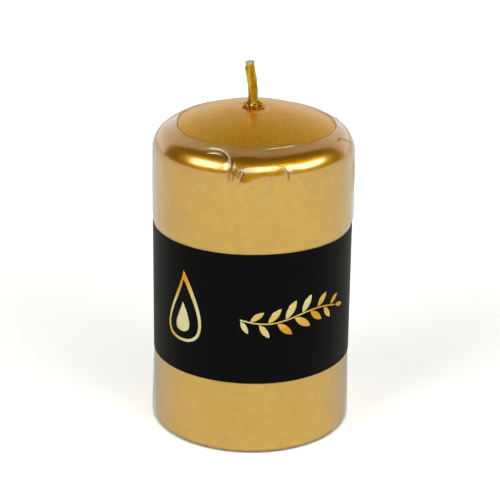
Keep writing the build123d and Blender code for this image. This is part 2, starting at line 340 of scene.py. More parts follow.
def gold_lacquer():
    """Metallic lacquer with a fine flake, a deeper orange gold above the shoulder, and painted contact
    shade at the very base.
    """
    n = Surface("gold_lacquer")
    cloud = n.noise(70, detail=3)
    mottle = n.noise(430, detail=3, roughness=0.6)
    flake = n.noise(1900, detail=3, roughness=0.75)
    side = n.ramp(cloud, (0.30, (0.765, 0.445, 0.003)), (0.70, (0.815, 0.485, 0.004)))
    crown = n.ramp(cloud, (0.30, (0.74, 0.316, 0.001)), (0.70, (0.78, 0.345, 0.003)))
    height = n.add("SeparateXYZ", n.position).outputs["Z"]
    above = n.spread(height, 0.0, 1.0, (SHOULDER_Z - 3) * MM, (SHOULDER_Z + 3) * MM)
    gold = n.mix(above, side, crown)
    gold = n.mix(n.spread(mottle, 0.0, 0.34, 0.36, 0.64), gold, (0.55, 0.28, 0.002))
    # painted shade: the gold darkens to brown over the lowest 1.5 mm, standing in for the contact shadow
    # at the candle's foot
    gold = n.mix(n.spread(height, 1.0, 0.0, 0.7 * MM, 1.5 * MM), gold, (0.16, 0.10, 0.02))
    colour = n.mix(n.spread(flake, 0.0, 0.45, 0.42, 0.64), gold, (0.99, 0.62, 0.008))
    rough = n.math("ADD", n.spread(flake, 0.29, 0.38), n.spread(mottle, -0.04, 0.04))
    peel = n.math("ADD", n.noise(900, detail=2), flake)
    return n.principled(
        Base_Color=colour, Metallic=1.0, Roughness=rough, Coat_Weight=0.35, Coat_IOR=1.5,
        Coat_Roughness=0.22, Normal=n.bump(peel, 0.22, 0.03),
    )


def grain_lacquer():
    """Glossy lacquer over crumbled wax, with random dark brown patches as painted shade for the hollows
    between the grains.
    """
    n = Surface("grain_lacquer")
    patch = n.noise(1100, detail=2)
    # painted shade: dark brown patches, placed at random, stand in for the shadowed hollows between the
    # grains
    colour = n.ramp(patch, (0.38, (0.20, 0.07, 0.002)), (0.60, (0.90, 0.54, 0.10)))
    return n.principled(
        Base_Color=colour, Metallic=1.0, Roughness=n.spread(patch, 0.26, 0.10),
        Normal=n.bump(n.noise(3000, detail=2), 0.3, 0.05),
    )


def wick_lacquer():
    """Lacquer soaked into the braid, streaked along the strands."""
    n = Surface("wick_lacquer")
    streak = n.noise(900, detail=3, stretch=(1, 1, 0.12))
    flake = n.noise(1900, detail=3, roughness=0.75)
    gold = n.ramp(
        streak, (0.36, (0.34, 0.165, 0.006)), (0.50, (0.58, 0.315, 0.014)), (0.64, (0.80, 0.49, 0.04)),
    )
    colour = n.mix(n.spread(flake, 0.0, 0.3, 0.45, 0.65), gold, (0.85, 0.53, 0.05))
    return n.principled(
        Base_Color=colour, Metallic=1.0, Roughness=n.spread(streak, 0.34, 0.22),
        Normal=n.bump(streak, 0.4, 0.06),
    )


def clear_film():
    """Thin clear film: see-through, with a sharp white sheen that grows at grazing angles."""
    n = Surface("clear_film")
    share = n.math("MULTIPLY_ADD", n.math("POWER", n.facing(), 5.0), 0.90, 0.072)
    haze = n.spread(n.noise(120, detail=3), 0.09, 0.16)
    sheen = n.shader("BsdfGlossy", color=(0.99, 0.985, 1.0, 1), roughness=haze)
    clear = n.shader("BsdfTransparent", color=(0.995, 0.995, 0.99, 1))
    return n.finish(n.shader("MixShader", share, clear, sheen))


def film_crease():
    """Rolled film at a fold: several layers, darker to see through and far shinier."""
    n = Surface("film_crease")
    patches = n.spread(n.noise(260, detail=1), 0.08, 0.55, 0.3, 0.7)
    share = n.math("MULTIPLY_ADD", n.facing(), 0.10, patches)
    sheen = n.shader("BsdfGlossy", color=(1.0, 0.96, 0.85, 1), roughness=0.14)
    milky = n.shader("BsdfDiffuse", color=(0.95, 0.84, 0.50, 1))
    clear = n.shader("BsdfTransparent", color=(0.86, 0.78, 0.60, 1))
    body = n.shader("MixShader", 0.5, sheen, milky)
    return n.finish(n.shader("MixShader", share, clear, body))


def film_tuck_shade():
    """Film doubled back on itself without a roll, tinted brown so that it paints shade on what lies
    behind it.
    """
    n = Surface("film_tuck_shade")
    share = n.spread(n.noise(320, detail=2), 0.02, 0.07)
    sheen = n.shader("BsdfGlossy", color=(1.0, 0.98, 0.88, 1), roughness=0.12)
    # painted shade: the brown tint darkens whatever is seen through the tuck
    clear = n.shader("BsdfTransparent", color=(0.78, 0.68, 0.46, 1))
    return n.finish(n.shader("MixShader", share, clear, sheen))


def black_paper():
    """Black paper with a faint fibre grain and a weak satin surface."""
    n = Surface("black_paper")
    fibre = n.noise(1600, detail=4, stretch=(1, 1, 3.5))
    shade = n.ramp(fibre, (0.3, (0.0010, 0.0012, 0.0015)), (0.75, (0.0028, 0.0030, 0.0036)))
    return n.principled(
        Base_Color=shade, Roughness=n.spread(fibre, 0.34, 0.44), Specular_IOR_Level=0.05,
        Normal=n.bump(fibre, 0.12, 0.02),
    )


def gold_foil():
    """Hot-stamped foil: brighter than the lacquer, with a slight mottle from the paper."""
    n = Surface("gold_foil")
    mottle = n.noise(800, detail=3)
    shade = n.math("ADD", n.noise(85, detail=1), n.math("MULTIPLY", mottle, 0.12))
    colour = n.ramp(
        shade, (0.42, (0.86, 0.40, 0.03)), (0.55, (0.88, 0.60, 0.16)), (0.72, (0.90, 0.82, 0.46)),
    )
    return n.principled(
        Base_Color=colour, Metallic=1.0, Roughness=n.spread(mottle, 0.20, 0.36),
        Normal=n.bump(mottle, 0.1, 0.02),
    )


def wick_cotton():
    """Waxed cotton, greyish tan, with painted shade between the threads."""
    n = Surface("wick_cotton")
    thread = n.noise(2600, detail=3)
    # painted shade: the colour darkens where the bump is low, between the threads
    colour = n.ramp(thread, (0.3, (0.26, 0.21, 0.13)), (0.7, (0.66, 0.60, 0.48)))
    return n.principled(Base_Color=colour, Roughness=0.85, Normal=n.bump(thread, 0.4, 0.06))


def pressed_wax():
    """White wax pressed from grains: faint cells, slightly translucent."""
    n = Surface("pressed_wax")
    cells = n.add("TexVoronoi", vector=n.position, scale=700.0).outputs["Distance"]
    colour = n.ramp(cells, (0.1, (0.80, 0.77, 0.69)), (0.6, (0.88, 0.86, 0.80)))
    return n.principled(
        Base_Color=colour, Roughness=0.5, Subsurface_Weight=0.2, Subsurface_Scale=0.002,
        Normal=n.bump(cells, 0.3, 0.08),
    )


def dipped_wax():
    """Smooth cream wax."""
    n = Surface("dipped_wax")
    cloud = n.noise(150, detail=2)
    colour = n.ramp(cloud, (0.3, (0.80, 0.70, 0.48)), (0.7, (0.86, 0.78, 0.58)))
    return n.principled(Base_Color=colour, Roughness=0.42, Normal=n.bump(cloud, 0.1, 0.05))


def tinplate():
    """Stamped tin with fine rolling lines."""
    n = Surface("tinplate")
    lines = n.noise(900, detail=3, stretch=(1, 12, 1))
    colour = n.ramp(lines, (0.3, (0.50, 0.50, 0.50)), (0.7, (0.68, 0.68, 0.67)))
    return n.principled(
        Base_Color=colour, Metallic=1.0, Roughness=n.spread(lines, 0.24, 0.42),
        Normal=n.bump(lines, 0.15, 0.02),
    )


def dried_glue():
    """Yellowish hot-melt glue, slightly lumpy."""
    n = Surface("dried_glue")
    cloud = n.noise(500, detail=2)
    colour = n.ramp(cloud, (0.3, (0.62, 0.52, 0.30)), (0.7, (0.80, 0.72, 0.50)))
    return n.principled(Base_Color=colour, Roughness=0.35, Normal=n.bump(cloud, 0.2, 0.05))


def table_top():
    """Plain white table, washed out to the camera as in a cleaned-up product picture."""
    n = Surface("table_top")
    cloud = n.noise(4, detail=2)
    colour = n.ramp(cloud, (0.3, (0.86, 0.86, 0.86)), (0.7, (0.89, 0.89, 0.89)))
    seen = n.add("LightPath").outputs["Is Camera Ray"]
    return n.principled(
        Base_Color=colour, Roughness=0.6, Specular_IOR_Level=0.0,
        Emission_Color=(0.91, 0.94, 1.0, 1), Emission_Strength=n.math("MULTIPLY", seen, TABLE_WASH),
    )


# ---- lacquer ----
LACQUER_T = 0.2
LACQUER_UNDER_R = 26.0
LACQUER_COLS = 288
# Dents in the wax, and a swelling where the depth is negative: azimuth in degrees, then
# distance along the section, depth and half-widths round and up the candle in mm.
DENTS = [
    (-5.0, -1.6, -0.46, 2.1, 1.7),
    (-22.0, 0.2, 0.10, 2.6, 1.8),
    (19.0, 0.8, 0.14, 2.4, 2.0),
    (-70.0, 3.0, 0.10, 4.0, 3.0),
    (130.0, 2.0, 0.16, 4.0, 3.0),
]


def make_lacquer():
    """The gold skin, with the slight waviness of dipping and a dip round the wick."""
    t_end = t_at_dome_radius(WICK_R)
    t_start = T_CORNER_BOTTOM - (UNDER_R - LACQUER_UNDER_R)
    t = stations([
        t_start, (T_CORNER_BOTTOM, 4), (T_CORNER_TOP, 6), (-2.0, 34), (T_JOIN + 1, 30),
        (t_end - 4, 26), (t_end, 20),
    ])
    azimuth = np.arange(LACQUER_COLS) * 360 / LACQUER_COLS
    tt, aa = np.meshgrid(t, azimuth, indexing="ij")
    base = lifted(tt, aa, 0 * tt)
    side = smooth(T_CORNER_TOP, T_CORNER_TOP + 6, tt)
    from_band = np.maximum(BAND_Z0 - base[..., 2], base[..., 2] - BAND_Z1)
    off_band = 0.25 + 0.75 * smooth(-4, 0, from_band)
    ripple = 0.035 * soft_noise(base, 14, 1) + 0.012 * soft_noise(base, 4.5, 2)
    reach = np.hypot(base[..., 0], base[..., 1])
    crown = smooth(0, T_JOIN, tt)
    # shallow ring round the wick, and lacquer drawn up against it
    dip = -0.16 * np.exp(-((reach - 3.6) / 1.6) ** 2) + 0.30 * np.exp(-((reach - 1.1) / 0.9) ** 2)
    lift = side * (ripple * off_band - 0.03) * (1 - 0.4 * crown) + dip * crown
    lift -= sum(swelling(tt, aa, *dent) for dent in DENTS)
    points, faces = shell(lifted(tt, aa, lift), lifted(tt, aa, lift - LACQUER_T))
    return add_mesh("candle_lacquer", points, faces, sharp_deg=50)


# ---- film ----
FILM_T = 0.05
FILM_UNDER_BAND = 0.08
FILM_BELOW = 0.72        # how far the film stands off the candle at the base
FILM_ABOVE = 0.50        # above the band
FILM_CROWN = 0.20        # and over the dome
FILM_MOUTH_R = 24.0
FILM_UNDER_R = 22.0
HEM_R = 0.09             # half the width of the rolled edge of the opening
LIP_WIDTH, LIP_RISE = 0.8, 0.05
CLEAR_FILM, CREASE, TUCK_SHADE = 0, 1, 2       # the film's materials, in their order on the piece

# Folds of the film: path as (azimuth in degrees, distance along the section in mm), then in
# mm the height, the half-width to the left and to the right of a path that runs down (below
# and above one that runs to the right), and the half-width of the roll along its crest.
FOLDS = [
    # the main pleat, from the opening across the shoulder, and the creases that branch off it
    ([(-33, 7.4), (-26, 8.3), (-20, 8.2), (-15.4, 7.0), (-13.8, 5.6)], 0.18, 1.2, 0.7, 0.46),
    ([(-15.4, 7.4), (-13.6, 5.2), (-12.7, 3.0), (-14.4, 0.2)], 0.20, 1.2, 0.7, 0.38),
    ([(-30, 6.2), (-22, 6.9), (-17.4, 6.1)], 0.08, 0.8, 0.8, 0.34),
    ([(-10.5, 4.6), (-10.2, 3.4), (-10.7, 1.8)], 0.14, 0.6, 0.9, 0.46),
    ([(-6.0, 3.6), (-7.6, 2.4), (-9.4, 1.2)], 0.14, 0.6, 1.2, 0.40),
    ([(-5.2, 2.6), (-6.8, 0.8), (-7.8, -1.2)], 0.05, 0.7, 1.5, 0.16),
    # the hook to the right of it
    ([(13.0, 3.7), (16.8, 2.7), (18.9, 1.4), (19.0, 0.1)], 0.14, 0.6, 1.2, 0.16),
    # short wrinkles between them, by the opening
    ([(-4.2, 7.2), (-1.6, 7.5)], 0.06, 0.5, 0.5, 0.34),
    ([(1.8, 7.6), (4.4, 7.8)], 0.06, 0.5, 0.5, 0.34),
    # creases by the opening
    ([(5, 9.3), (14, 9.5), (26, 9.7), (33, 10.0)], 0.06, 0.5, 0.5, 0.20),
    ([(-44, 4.9), (-41, 3.7)], 0.10, 0.6, 0.8, 0.30),
    ([(-85, 4.8), (-82.5, 2.6)], 0.10, 0.8, 1.0, 0.28),
    ([(70, 6.6), (75.5, 5.5), (80, 3.6), (85, 1.4)], 0.14, 0.7, 1.3, 0.30),
    # upright pleats on the right
    ([(75, 2.6), (77.0, -3.0), (76.0, -9.0), (77.6, -15.5)], 0.13, 0.6, 1.2, 0.22),
    ([(80.5, 1.5), (82.0, -5.0), (81.0, -11.0)], 0.10, 0.6, 1.0, 0.22),
    # round the back
    ([(112, 7.8), (116, 5.0), (114, 1.0)], 0.14, 1.2, 0.7, 0.24),
    ([(149, 9.4), (146, 6.0), (150, 2.0), (148, -2.5)], 0.32, 0.8, 1.4, 0.34),
    ([(176, 7.6), (178, 3.8)], 0.20, 0.9, 0.9, 0.34),
    ([(-158, 9.0), (-154, 5.6), (-156, 1.2)], 0.30, 0.8, 1.4, 0.34),
    ([(-128, 7.4), (-131, 3.4), (-129, -0.6)], 0.26, 1.2, 0.7, 0.34),
    ([(-100, 9.2), (-97, 6.2)], 0.20, 0.8, 0.8, 0.34),
]
# Tucks, whose brown see-through film paints dark lines of shade: path as above, and half-width in mm.
TUCKS = [
    ([(13.6, 4.1), (17.4, 3.0), (19.5, 1.6), (19.8, 0.0), (18.8, -1.0)], 0.26),
    ([(-12.6, 1.6), (-13.0, 0.2), (-13.6, -1.2)], 0.17),
    ([(-10.4, 1.6), (-10.9, 0.2), (-11.3, -1.0)], 0.19),
    ([(-12.8, 5.6), (-11.8, 3.8), (-12.4, 2.0)], 0.22),
    ([(-4.6, 2.4), (-6.0, 0.8), (-7.4, -1.6)], 0.22),
    ([(-26, 7.0), (-20, 7.2), (-16.4, 6.2), (-14.8, 4.8)], 0.34),
    ([(64, 6.6), (68, 7.1), (72, 6.2)], 0.24),
    ([(-9, 6.6), (-3, 6.3), (4, 6.6)], 0.16),
]
# Gentle swellings of the film: azimuth in degrees, then distance along the section, height
# and half-widths round and up the candle in mm.
SWELLS = [
    (-5.6, -1.7, 0.36, 1.8, 1.7),
    (-2.6, -1.0, 0.26, 3.2, 1.6),
    (-21.0, 4.6, 0.10, 3.2, 2.4),
    (20.0, -2.4, 0.14, 3.0, 1.6),
    (-30.0, 2.0, 0.10, 6.0, 2.6),
    (36.0, 3.0, 0.10, 7.0, 2.4),
    (-58.0, 5.0, 0.12, 4.0, 2.0),
    (64.0, 2.0, 0.12, 4.0, 3.0),
    (104.0, -3.0, 0.20, 4.0, 3.0),
    (-140.0, -4.0, 0.25, 4.0, 3.0),
    (165.0, -3.0, 0.20, 5.0, 2.5),
]


def fold_height(azimuth, t, path, height, left, right):
    """Height of one fold: a ridge along a path, steeper to one side and low at its ends."""
    x0 = path[len(path) // 2][0]
    x = wrapped(azimuth - x0) * MM_PER_DEG
    best = np.full(azimuth.shape, 1e9)
    side = np.ones(azimuth.shape)
    along = np.zeros(azimuth.shape)
    lengths = [0.0]
    corners = [np.array([wrapped(a - x0) * MM_PER_DEG, b]) for a, b in path]
    for a, b in zip(corners, corners[1:]):
        lengths.append(lengths[-1] + float(np.hypot(*(b - a))))
    for k, (a, b) in enumerate(zip(corners, corners[1:])):
        d = b - a
        u = np.clip(((x - a[0]) * d[0] + (t - a[1]) * d[1]) / (d @ d), 0, 1)
        px, pt = x - a[0] - u * d[0], t - a[1] - u * d[1]
        far = np.hypot(px, pt)
        nearer = far < best
        best = np.where(nearer, far, best)
        side = np.where(nearer, d[0] * pt - d[1] * px, side)
        along = np.where(nearer, (lengths[k] + u * (lengths[k + 1] - lengths[k])) / lengths[-1], along)
    width = np.where(side > 0, right, left)
    taper = smooth(0, 0.3, along) * (1 - smooth(0.7, 1, along)) * 0.85 + 0.15
    return height * taper * np.exp(-(best / width) ** 2)


# Columns of the film's mesh: (azimuth up to which a spacing holds, spacing in degrees).
FILM_SPACING = [
    (-86, 1.75), (-70, 0.9), (-34, 1.75), (-17, 0.6), (-3, 0.3), (13, 0.6), (22, 0.3),
    (30, 0.6), (64, 1.75), (70, 0.9), (86, 0.5), (180, 1.75),
]


def film_columns():
    """Azimuths of the film's columns: close together where it is creased."""
    starts = [-180, *[end for end, _ in FILM_SPACING]]
    stops = [(end, round((end - start) / spacing)) for start, (end, spacing) in zip(starts, FILM_SPACING)]
    return stations([-180.0, *stops])[:-1]


def film_lift(t, azimuth):
    """How far the film's outer face stands off the candle's section."""
    z_side = SHOULDER_Z + t
    to_base = np.clip((BAND_Z0 - z_side) / BAND_Z0, 0, 1)
    low = FILM_UNDER_BAND + FILM_BELOW * (1 - 0.3 * wave(azimuth, 1)) * to_base
    from_band = smooth(0.05, 2.8, z_side - BAND_Z1) * (1 - 0.55 * smooth(-16, -1, t))
    high = FILM_UNDER_BAND + (FILM_ABOVE * (1 + 0.35 * wave(azimuth, 1)) - FILM_UNDER_BAND) * from_band
    lift = np.where(z_side < (BAND_Z0 + BAND_Z1) / 2, low, high)
    crown = smooth(0, 3, t)
    lift = lift * (1 - crown) + FILM_CROWN * crown
    corner = smooth(T_CORNER_BOTTOM, T_CORNER_TOP + 0.5, t)
    return FILM_UNDER_BAND * (1 - corner) + lift * corner


def film_relief(t, azimuth, place):
    """Folds, swellings and slack of the film, over the parts that the band leaves free."""
    relief = sum(fold_height(azimuth, t, *fold[:4]) for fold in FOLDS)
    relief += sum(swelling(t, azimuth, *swell) for swell in SWELLS)
    slack = 0.10 * soft_noise(place, 11, 5) + 0.03 * soft_noise(place, 3.4, 6)
    free_above = smooth(0.4, 3.0, SHOULDER_Z + t - BAND_Z1)
    free_below = 1 - smooth(-3.0, -0.4, SHOULDER_Z + t - BAND_Z0)
    off_base = smooth(T_CORNER_TOP - 0.3, T_CORNER_TOP + 4, t)
    return (relief + slack) * (free_above + free_below * off_base)


def crease(path, half_width, offset):
    """The rolled edge of a fold: a thin tube of film along its crest, fine at both ends."""
    t_and_azimuth = rounded([(t, azimuth) for azimuth, t in path])
    t, azimuth = t_and_azimuth.T
    lift = film_lift(t, azimuth) + film_relief(t, azimuth, lifted(t, azimuth, 0 * t))
    line = lifted(t, azimuth, lift)
    out = lifted(t, azimuth, lift + 1) - line
    share = np.linspace(0, 1, len(t))
    taper = 0.15 + 0.85 * smooth(0, 0.2, share) * (1 - smooth(0.75, 1, share))
    return tube(line, out, taper * half_width, taper * half_width * 0.6, 10, offset)


def opening_roll(edge, offset):
    """Rolled edge of the film along its opening: a thin closed ring of film."""
    sides = 8
    turn = np.arange(sides) * 2 * pi / sides
    away = edge * (1, 1, 0)
    away /= np.linalg.norm(away, axis=1)[:, None]
    rings = edge[:, None] + HEM_R * np.cos(turn)[:, None] * away[:, None]
    rings[..., 2] += HEM_R * np.sin(turn)
    rings = np.concatenate([rings, rings[:1]])
    faces = np.array(grid_faces(len(rings), sides))
    faces[faces >= (len(rings) - 1) * sides] -= (len(rings) - 1) * sides
    return rings[:-1].reshape(-1, 3), (faces + offset).tolist()


def make_film():
    """Thin film with its folds, drawn in at the band, lipped at its opening on the dome."""
    azimuth = film_columns()
    t_start = T_CORNER_BOTTOM - (UNDER_R - FILM_UNDER_R)
    z_band0, z_band1 = BAND_Z0 - SHOULDER_Z, BAND_Z1 - SHOULDER_Z
    t_mouth = t_at_dome_radius(FILM_MOUTH_R)
    t = stations([
        t_start, (T_CORNER_BOTTOM, 9), (T_CORNER_TOP, 6), (z_band0 - 3, 10), (z_band0, 10),
        (z_band1, 4), (z_band1 + 3, 10), (-6, 12), (-2, 9), (6.4, 42),
        (t_mouth - LIP_WIDTH, 9), (t_mouth, 6),
    ])
    tt, aa = np.meshgrid(t, azimuth, indexing="ij")
    hem = smooth(t_mouth - 5, t_mouth, tt)
    to_edge = smooth(t_mouth - LIP_WIDTH, t_mouth, tt)
    # the film reaches further over the dome at the back and left, and its edge is ragged
    ragged = 0.6 - 0.9 * wave(aa, 1, 90) - 0.6 * wave(aa, 1)
    ragged += 0.30 * wave(aa, 3, 40) + 0.16 * wave(aa, 7, 10) + 0.10 * wave(aa, 16)
    under = 1 - smooth(t_start, T_CORNER_BOTTOM, tt)
    # the turned-in edge under the base is gathered, and lifts a little here and there
    gathers = 0.7 * wave(aa, 5) + 0.5 * wave(aa, 13, 70)
    tt = tt + hem * ragged + under * gathers
    lip = LIP_RISE * to_edge**2 * (1 + 0.7 * wave(aa, 1, 72))
    relief = film_relief(tt, aa, lifted(tt, aa, 0 * tt))
    lift = film_lift(tt, aa) + np.maximum(relief, -FILM_UNDER_BAND) + lip
    lift = np.where(tt < T_CORNER_BOTTOM, np.minimum(lift, FILM_UNDER_BAND), lift)
    outer, inner = lifted(tt, aa, lift), lifted(tt, aa, lift - FILM_T)
    rise = 0.25 * under * wave(aa, 23) ** 2 * smooth(0.75, 1.0, under)
    outer[..., 2] = np.maximum(outer[..., 2] + rise, 0)
    inner[..., 2] += rise
    points, faces = shell(outer, inner)
    material = [CLEAR_FILM] * len(faces)
    rolls = [(path, half_width, CREASE) for path, *_, half_width in FOLDS]
    rolls += [(path, half_width, TUCK_SHADE) for path, half_width in TUCKS]
    for path, half_width, look in rolls:
        points, faces = joined(points, faces, crease(path, half_width, len(points)))
        material += [look] * (len(faces) - len(material))
    # the rolled edge of the opening also takes the tinted tuck film, a painted dark line of shade along
    # it
    points, faces = joined(points, faces, opening_roll(outer[-1], len(points)))
    material += [TUCK_SHADE] * (len(faces) - len(material))
    film = add_mesh("shrink_film", points, faces)
    film.data.polygons.foreach_set("material_index", material)
    return film


# ---- band ----
BAND_T = 0.18
BAND_FIT = 0.01          # gap between the film and the paper
BAND_R = CANDLE_R + FILM_UNDER_BAND + BAND_FIT
BAND_SEAM_AZIMUTH = 174.0
BAND_RAMP_DEG = 7.0
BAND_LAP_MM = 12.0
BAND_LAP_DEG = degrees(BAND_LAP_MM / BAND_R)
BAND_BEVEL = 0.05
GLUE_T = 0.05
BAND_OUT_R = BAND_R + BAND_T


def make_band():
    """Paper wound once round, its end lapped over the start, with soft cut edges."""
    wound = stations([0, (360 - BAND_RAMP_DEG, 340), (360, 14), (360 + BAND_LAP_DEG, 22)])[:, None]
    azimuth = BAND_SEAM_AZIMUTH + wound
    height = BAND_Z1 - BAND_Z0
    outline = [(0, BAND_BEVEL), (0, height / 2), (0, height - BAND_BEVEL), (BAND_BEVEL, height)]
    outline.append((BAND_T - BAND_BEVEL, height))
    outline += [(BAND_T, up) for up in np.linspace(height - BAND_BEVEL, BAND_BEVEL, 26)]
    outline += [(BAND_T - BAND_BEVEL, 0), (BAND_BEVEL, 0)]
    depth, up = np.array(outline).T
    climb = (BAND_T + GLUE_T) * smooth(360 - BAND_RAMP_DEG, 360, wound)
    edge_wave = 0.05 * wave(azimuth, 2, 30) + 0.03 * wave(azimuth, 5)
    z = BAND_Z0 + up + edge_wave * (2 * up / height - 1)
    points = round_points(BAND_R + climb + depth, z, azimuth)
    rows, cols, _ = points.shape
    faces = grid_faces(rows, cols) + end_faces(rows, cols)
    return add_mesh("paper_band", points.reshape(-1, 3), faces, sharp_deg=40)


# ---- wick ----
WICK_BEND_Z = 96.0
WICK_BEND_R = 100.0
WICK_LEAN_DEG = 10.1                       # how far the cut tip leans to the left
WICK_TIP = WICK_BEND_R * radians(WICK_LEAN_DEG)     # distance from the bend's start to the cut
WICK_BARE = 0.75                           # cotton left bare below the cut
WICK_SLANT = 0.55                          # rise of the lacquer's edge from its middle to the right
WICK_COLS = 72
STRANDS = 5
STRAND_RISE, CROSS_RISE = 11.0, 4.0        # length over which a strand meets the next one's place
UNDER_COAT = 0.22                          # how far the lacquer sinks into the braid
FIBRES = 34


def along_wick(s, radius, turn):
    """Points round the wick at distances s along it from the start of its bend."""
    a = np.clip(s, 0, None) / WICK_BEND_R
    middle_x = -WICK_BEND_R * (1 - np.cos(a))
    middle_z = WICK_BEND_Z + np.where(s > 0, WICK_BEND_R * np.sin(a), s)
    x = middle_x + radius * np.cos(turn) * np.cos(a)
    z = middle_z + radius * np.cos(turn) * np.sin(a)
    return np.stack([x, radius * np.sin(turn) + 0 * a, z], -1)


def braid(s, turn):
    """Height of the braid from 0 in its grooves to 1 on its strands."""
    lay = np.cos(STRANDS * turn + 2 * pi * s / STRAND_RISE)
    cross = np.cos(STRANDS * turn - 2 * pi * s / CROSS_RISE + 1)
    return 0.5 + 0.34 * lay + 0.16 * cross


def coat_edge(turn):
    """Distance along the wick at which its lacquer ends."""
    return WICK_TIP - WICK_BARE + WICK_SLANT * np.cos(turn) + 0.14 * np.sin(3 * turn + 1)


def make_wick():
    """Cotton braid, with cut fibres standing out of its tip."""
    bottom = WICK_LO[2] - WICK_BEND_Z
    s = stations([bottom, (-1, 24), (WICK_TIP - 3, 16), (WICK_TIP, 24)])
    turn = np.arange(WICK_COLS) * 2 * pi / WICK_COLS
    ss, tt = np.meshgrid(s, turn, indexing="ij")
    covered = 1 - smooth(-0.5, -0.1, ss - coat_edge(tt))
    radius = WICK_R - 0.16 * (1 - braid(ss, tt)) * (1 - covered) - UNDER_COAT * 1.2 * covered
    side = along_wick(ss, radius, tt)
    caps = []
    for share, height in ((0.88, -0.02), (0.66, -0.05), (0.40, -0.08), (0.14, -0.08)):
        rough = 0.10 * np.sin(4 * turn + 9 * share) * share
        caps.append(along_wick(WICK_TIP + height + rough, WICK_R * share, turn))
    points = np.concatenate([side, np.array(caps)])
    faces = grid_faces(len(points), WICK_COLS) + end_faces(len(points), WICK_COLS)
    points = points.reshape(-1, 3)
    rng = np.random.default_rng(3)
    for _ in range(FIBRES):
        angle = rng.uniform(0, 2 * pi)
        reach = WICK_R * rng.uniform(0.3, 0.95)
        length = rng.uniform(0.05, 0.26)
        splay = rng.uniform(-0.1, 0.5)
        share = np.linspace(0, 1, 6)
        line = along_wick(WICK_TIP + length * share, reach + splay * share**2, angle + 0.3 * share)
        out = np.tile([cos(angle), sin(angle), 0.0], (6, 1))
        thick = 0.075 * (1 - 0.6 * share)
        points, faces = joined(points, faces, tube(line, out, thick, thick, 6, len(points)))
    return add_mesh("wick_braid", points, faces)


def make_wick_coat():
    """Lacquer over the standing wick: it softens the braid and ends in a ragged edge."""
    turn = np.arange(WICK_COLS) * 2 * pi / WICK_COLS
    foot = CANDLE_TOP - WICK_BEND_Z - 0.1
    edge = coat_edge(turn)
    share = np.concatenate([np.linspace(0, 0.97, 96), [0.985, 0.995, 1.0]])[:, None]
    ss = foot + share * (edge[None, :] - foot)
    tt = np.broadcast_to(turn, ss.shape)
    lump = 0.05 * soft_noise(along_wick(ss, WICK_R, tt), 2.0, 4)
    flare = 0.45 * (1 - smooth(0, 1.2, ss - foot)) + 0.10 * smooth(-1.0, -0.2, ss - edge[None, :])
    radius = SLEEVE_R + 0.15 - 0.26 * (1 - braid(ss, tt)) + lump + flare
    radius -= 0.10 * smooth(0.98, 1.0, share)
    outer = along_wick(ss, radius, tt)
    inner = along_wick(ss, WICK_R - UNDER_COAT * (1 - smooth(0.97, 1.0, share)) + 0 * tt, tt)
    points, faces = shell(outer, inner)
    return add_mesh("wick_coat", points, faces)


# ---- grains of wax at the foot of the wick ----
CRUMBS = 120
STRAY_CRUMBS = 9
CRUMB_FORWARD = 0.9      # how far the heap's outermost grains are shifted to the front
CRUMB_REACH = 1.95       # width of the heap round the wick
CRUMB_VOXEL = 0.07       # size of the cells in which the grains are fused


def dome_height(x, y):
    return DOME_Z + sqrt(DOME_R**2 - x * x - y * y)


def make_crumbs():
    """Heap of lacquered wax grains, fused where they touch, with a few strays in front."""
    rng = np.random.default_rng(21)
    heap = bmesh.new()
    for i in range(CRUMBS + STRAY_CRUMBS):
        stray = i >= CRUMBS
        angle = rng.uniform(0, 2 * pi) if not stray else rng.uniform(-0.85, -0.15) * pi
        spread = rng.uniform(1.1, 1.7) if stray else rng.uniform(0, 1)
        size = rng.uniform(0.12, 0.20) if stray else rng.uniform(0.20, 0.40)
        reach = SLEEVE_R + CRUMB_REACH * spread
        x = reach * cos(angle)
        y = reach * sin(angle) - CRUMB_FORWARD * spread
        rise = 0 if stray else (1 - spread) * rng.uniform(0.1, 1.25)
        place = Matrix.Translation((x, y, dome_height(x, y) + 0.35 * size + rise))
        tumble = Matrix.Rotation(rng.uniform(0, pi), 4, "X") @ Matrix.Rotation(rng.uniform(0, pi), 4, "Z")
        shape = Matrix.Diagonal((size, size * rng.uniform(0.6, 1), size * rng.uniform(0.6, 1), 1))
        bmesh.ops.create_icosphere(heap, subdivisions=2, radius=1, matrix=place @ tumble @ shape)
    loose = bpy.data.meshes.new("loose_grains")
    heap.to_mesh(loose)
    heap.free()
    pile = bpy.data.objects.new("loose_grains", loose)
    bpy.context.scene.collection.objects.link(pile)
    fuse = pile.modifiers.new("fuse", "REMESH")
    fuse.mode = "VOXEL"
    fuse.voxel_size = CRUMB_VOXEL
    whole = pile.evaluated_get(bpy.context.evaluated_depsgraph_get()).to_mesh()
    points = np.array([v.co for v in whole.vertices])
    faces = [list(f.vertices) for f in whole.polygons]
    bpy.data.objects.remove(pile)
    return add_mesh("wax_grains", points, faces)


# ---- foil printing ----
FOIL_T = 0.03
FOIL_COLS = 13
FLAME_AZIMUTH, FLAME_Z = -43.0, 45.0
FLAME_H, FLAME_W = 23.0, 13.0
FLAME_LINE, FLAME_TIP_LINE = 0.95, 3.0
FLAME_RIGHT = ((0.76, 0.0), (0.70, 0.45))
FLAME_LEFT = ((-0.02, 0.68), (-1.0, 0.0))
FLAME_LEAN = 0.06
FLAME_HEART, FLAME_HEART_LIFT = 0.42, 3.2
SPRIG_AZIMUTH, SPRIG_Z = 24.3, 43.8
SPRIG_LENGTH, SPRIG_PAIRS = 39.0, 6
SPRIG_STEM, SPRIG_RISE = 0.5, 1.3
LEAF_LENGTH, LEAF_WIDTH, LEAF_GAP = 6.6, 2.5, 0.45
LEAF_LEAN_DEG, LEAF_TAPER, LEAF_FULLEST = 47.0, 0.35, 0.1
LEAF_RIB = 0.022
STEM_LENGTH = SPRIG_LENGTH - LEAF_LENGTH


